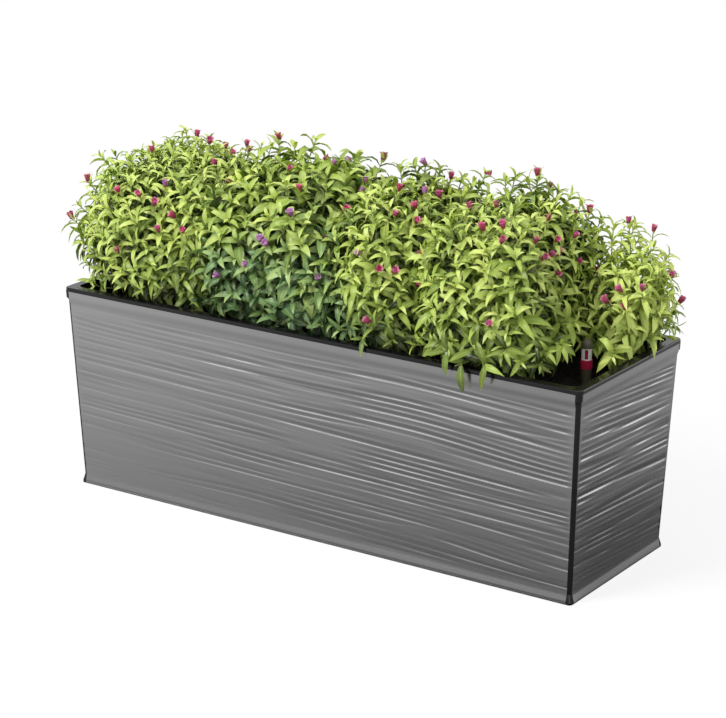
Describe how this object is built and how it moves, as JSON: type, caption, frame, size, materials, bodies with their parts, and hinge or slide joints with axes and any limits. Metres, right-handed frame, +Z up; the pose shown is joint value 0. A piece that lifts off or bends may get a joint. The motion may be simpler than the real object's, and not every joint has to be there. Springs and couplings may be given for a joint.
{
  "type": "rectangular planter",
  "caption": "Long rectangular planter with leaning chiselled metallic walls, dark corner posts, a lift-out liner with water reservoir and float gauge, and a row of flowering plants.",
  "frame": {"origin": "middle of the casing's underside, on the floor", "axes": "+X along the length towards the end with the water gauge, +Y to the back, +Z up"},
  "size_m": [0.5299, 0.1757, 0.3039],
  "materials": {
    "casing": "satin black moulded plastic",
    "panel": "silver-grey metallic lacquer on a chiselled, brushed face",
    "liner": "satin black moulded plastic",
    "tray": "matt black moulded plastic",
    "gauge_red": "glossy red plastic",
    "gauge_white": "glossy white plastic",
    "gauge_dark": "matt dark olive plastic",
    "soil": "loose dark potting soil of bark, peat and wood fibre",
    "roots": "matted roots in soil",
    "stems": "thin brown-green woody stems",
    "leaves": "glossy yellow-green narrow leaves",
    "leaves_blue": "glossy blue-green leaves",
    "flowers_red": "soft pink-red petals",
    "flowers_lilac": "soft lilac petals"
  },
  "bodies": {
    "casing": {"casing": "casing", "front_panel": "panel", "back_panel": "panel", "left_panel": "panel", "right_panel": "panel"},
    "liner": {"liner": "liner", "separator_tray": "tray", "wick_soil": "soil", "gauge_tube": "gauge_dark", "gauge_collar": "gauge_red", "gauge_sleeve": "gauge_white", "gauge_cap": "gauge_dark", "soil": "soil", "root_ball_1": "roots", "root_ball_2": "roots", "root_ball_3": "roots", "root_ball_4": "roots", "root_ball_5": "roots", "plant_stems_1": "stems", "plant_stems_2": "stems", "plant_stems_3": "stems", "plant_stems_4": "stems", "plant_stems_5": "stems", "plant_leaves_1": "leaves", "plant_leaves_2": "leaves_blue", "plant_leaves_3": "leaves", "plant_leaves_4": "leaves", "plant_leaves_5": "leaves", "plant_flowers_1": "flowers_red", "plant_flowers_2": "flowers_lilac", "plant_flowers_3": "flowers_red", "plant_flowers_4": "flowers_red", "plant_flowers_5": "flowers_red"},
    "float": {"gauge_float": "gauge_red"}
  },
  "joints": [
    {"name": "liner_lift", "type": "slide", "parent": "casing", "child": "liner", "axis": [0, 0, 1], "range_m": [0, 0.2]},
    {"name": "float_rise", "type": "slide", "parent": "liner", "child": "float", "axis": [0, 0, 1], "range_m": [-0.0155, 0]}
  ]
}
